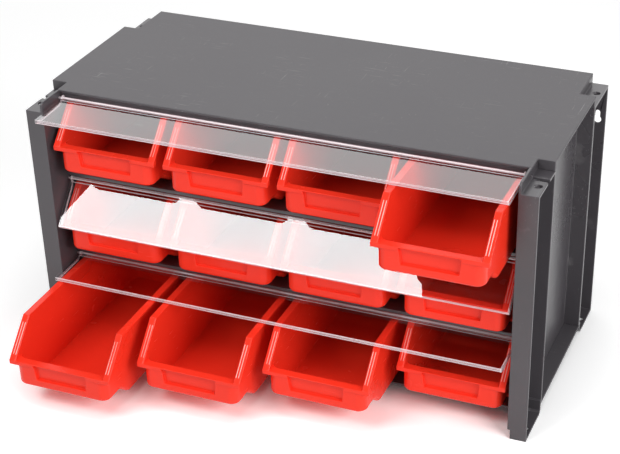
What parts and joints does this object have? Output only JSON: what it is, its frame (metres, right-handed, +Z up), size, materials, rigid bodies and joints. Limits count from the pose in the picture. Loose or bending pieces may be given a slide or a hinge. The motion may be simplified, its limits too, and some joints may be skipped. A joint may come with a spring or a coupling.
{
  "type": "wall bin cabinet",
  "caption": "Wall or bench cabinet with shelves of open-fronted slide-out bins, each row covered by a clear hinged flap.",
  "frame": {"origin": "under the middle of the cabinet as it stands with its pulled-out bins, at the soles of its feet", "axes": "+X to the right along the rows, +Y to the rear (towards the wall), +Z up"},
  "size_m": [0.4, 0.2874, 0.2141],
  "materials": {
    "housing": "dark grey-black moulded plastic, satin to glossy",
    "bin": "bright red moulded plastic, semi-gloss",
    "flap": "clear moulded plastic, polished"
  },
  "bodies": {
    "housing": {"side_wall_left": "housing", "side_wall_right": "housing", "top_panel": "housing", "shelf_upper": "housing", "shelf_lower": "housing", "bottom_panel": "housing", "back_panel": "housing"},
    "flap_bottom": {"flap_bottom": "flap"},
    "flap_middle": {"flap_middle": "flap"},
    "flap_top": {"flap_top": "flap"},
    "bin_bottom_1": {"bin_bottom_1": "bin"},
    "bin_bottom_2": {"bin_bottom_2": "bin"},
    "bin_bottom_3": {"bin_bottom_3": "bin"},
    "bin_bottom_4": {"bin_bottom_4": "bin"},
    "bin_middle_1": {"bin_middle_1": "bin"},
    "bin_middle_2": {"bin_middle_2": "bin"},
    "bin_middle_3": {"bin_middle_3": "bin"},
    "bin_middle_4": {"bin_middle_4": "bin"},
    "bin_top_1": {"bin_top_1": "bin"},
    "bin_top_2": {"bin_top_2": "bin"},
    "bin_top_3": {"bin_top_3": "bin"},
    "bin_top_4": {"bin_top_4": "bin"}
  },
  "joints": [
    {"name": "flap_top_hinge", "type": "hinge", "parent": "housing", "child": "flap_top", "pos_m": [0, -0.02725, 0.20791], "axis": [-1, 0, 0], "range_deg": [0, 80]},
    {"name": "flap_middle_hinge", "type": "hinge", "parent": "housing", "child": "flap_middle", "pos_m": [0, -0.02725, 0.13984], "axis": [-1, 0, 0], "range_deg": [0, 53]},
    {"name": "flap_bottom_hinge", "type": "hinge", "parent": "housing", "child": "flap_bottom", "pos_m": [0, -0.02725, 0.07177], "axis": [1, 0, 0], "range_deg": [-34, 0]},
    {"name": "bin_bottom_1_slide", "type": "slide", "parent": "housing", "child": "bin_bottom_1", "axis": [0, -1, 0], "range_m": [-0.094, 0.026]},
    {"name": "bin_bottom_2_slide", "type": "slide", "parent": "housing", "child": "bin_bottom_2", "axis": [0, -1, 0], "range_m": [-0.064, 0.056]},
    {"name": "bin_bottom_3_slide", "type": "slide", "parent": "housing", "child": "bin_bottom_3", "axis": [0, -1, 0], "range_m": [-0.0394, 0.0806]},
    {"name": "bin_bottom_4_slide", "type": "slide", "parent": "housing", "child": "bin_bottom_4", "axis": [0, -1, 0], "range_m": [0, 0.12]},
    {"name": "bin_middle_1_slide", "type": "slide", "parent": "housing", "child": "bin_middle_1", "axis": [0, -1, 0], "range_m": [0, 0.023]},
    {"name": "bin_middle_2_slide", "type": "slide", "parent": "housing", "child": "bin_middle_2", "axis": [0, -1, 0], "range_m": [0, 0.023]},
    {"name": "bin_middle_3_slide", "type": "slide", "parent": "housing", "child": "bin_middle_3", "axis": [0, -1, 0], "range_m": [0, 0.023]},
    {"name": "bin_middle_4_slide", "type": "slide", "parent": "housing", "child": "bin_middle_4", "axis": [0, -1, 0], "range_m": [0, 0.023]},
    {"name": "bin_top_1_slide", "type": "slide", "parent": "housing", "child": "bin_top_1", "axis": [0, -1, 0], "range_m": [0, 0.12]},
    {"name": "bin_top_2_slide", "type": "slide", "parent": "housing", "child": "bin_top_2", "axis": [0, -1, 0], "range_m": [0, 0.12]},
    {"name": "bin_top_3_slide", "type": "slide", "parent": "housing", "child": "bin_top_3", "axis": [0, -1, 0], "range_m": [0, 0.12]},
    {"name": "bin_top_4_slide", "type": "slide", "parent": "housing", "child": "bin_top_4", "axis": [0, -1, 0], "range_m": [-0.053, 0.067]}
  ],
  "couplings": [
    {"joint": "bin_middle_1_slide", "follows": "flap_middle_hinge", "m_per_rad": 0.024637},
    {"joint": "bin_middle_2_slide", "follows": "flap_middle_hinge", "m_per_rad": 0.024637},
    {"joint": "bin_middle_3_slide", "follows": "flap_middle_hinge", "m_per_rad": 0.024637},
    {"joint": "bin_middle_4_slide", "follows": "flap_middle_hinge", "m_per_rad": 0.024637}
  ]
}
